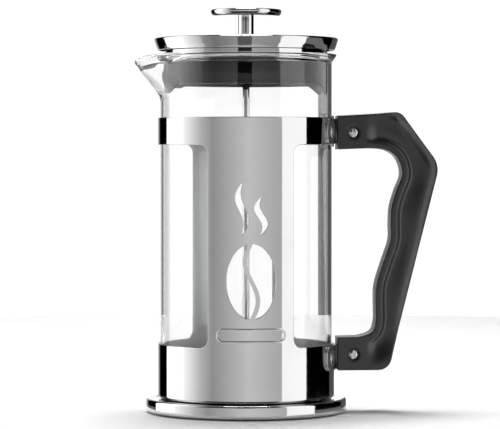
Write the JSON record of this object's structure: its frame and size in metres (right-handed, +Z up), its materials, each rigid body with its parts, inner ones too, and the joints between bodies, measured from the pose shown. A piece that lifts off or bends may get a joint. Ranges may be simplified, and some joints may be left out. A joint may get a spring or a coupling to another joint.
{
  "type": "french press",
  "caption": "Coffee press: glass beaker lifted out of a polished steel frame with a plastic handle; lid turns and lifts off, plunger slides with its mesh filter.",
  "frame": {"origin": "middle of the foot's flat underside, on the axis of the beaker and the plunger", "axes": "+Z up along the plunger, +X towards the handle, -X towards the spout, -Y is the decorated front"},
  "size_m": [0.1697, 0.1122, 0.2262],
  "materials": {
    "polished_steel": "mirror-polished stainless steel",
    "bracket_steel": "polished steel, fine drawn grain",
    "screw_steel": "turned steel",
    "filter_steel": "pressed steel",
    "mesh_steel": "woven wire mesh",
    "handle_plastic": "satin moulded, charcoal",
    "lid_plastic": "semi-gloss moulded, black",
    "foot_plastic": "fine textured, black",
    "pad_rubber": "matt silicone",
    "clear_glass": "clear borosilicate"
  },
  "bodies": {
    "frame": {"base_shell": "polished_steel", "base_insert": "foot_plastic", "frame_sleeve": "polished_steel", "beaker_pad": "pad_rubber", "upper_bracket": "bracket_steel", "lower_bracket": "bracket_steel", "bracket_rivets": "bracket_steel", "handle": "handle_plastic", "handle_screws": "screw_steel", "handle_nuts": "screw_steel"},
    "beaker": {"beaker": "clear_glass"},
    "lid_bush": {"lid_bush": "polished_steel", "bush_nut": "screw_steel"},
    "lid": {"lid_cap": "polished_steel", "lid_collar": "polished_steel", "lid_insert": "lid_plastic"},
    "plunger": {"knob": "polished_steel", "knob_stem": "polished_steel", "plunger_rod": "polished_steel", "filter_collar": "filter_steel", "filter_plate": "filter_steel", "edge_spring": "filter_steel", "mesh_screen": "mesh_steel", "cross_plate": "filter_steel", "hub_nut": "filter_steel"}
  },
  "joints": [
    {"name": "beaker_lift", "type": "slide", "parent": "frame", "child": "beaker", "axis": [0, 0, 1], "range_m": [0, 0.17]},
    {"name": "lid_lift", "type": "slide", "parent": "beaker", "child": "lid_bush", "axis": [0, 0, 1], "range_m": [0, 0.19]},
    {"name": "lid_turn", "type": "hinge", "parent": "lid_bush", "child": "lid", "pos_m": [0, 0, 0.2], "axis": [0, 0, 1], "continuous": true},
    {"name": "plunger_slide", "type": "slide", "parent": "lid_bush", "child": "plunger", "axis": [0, 0, 1], "range_m": [0, 0.15]}
  ]
}
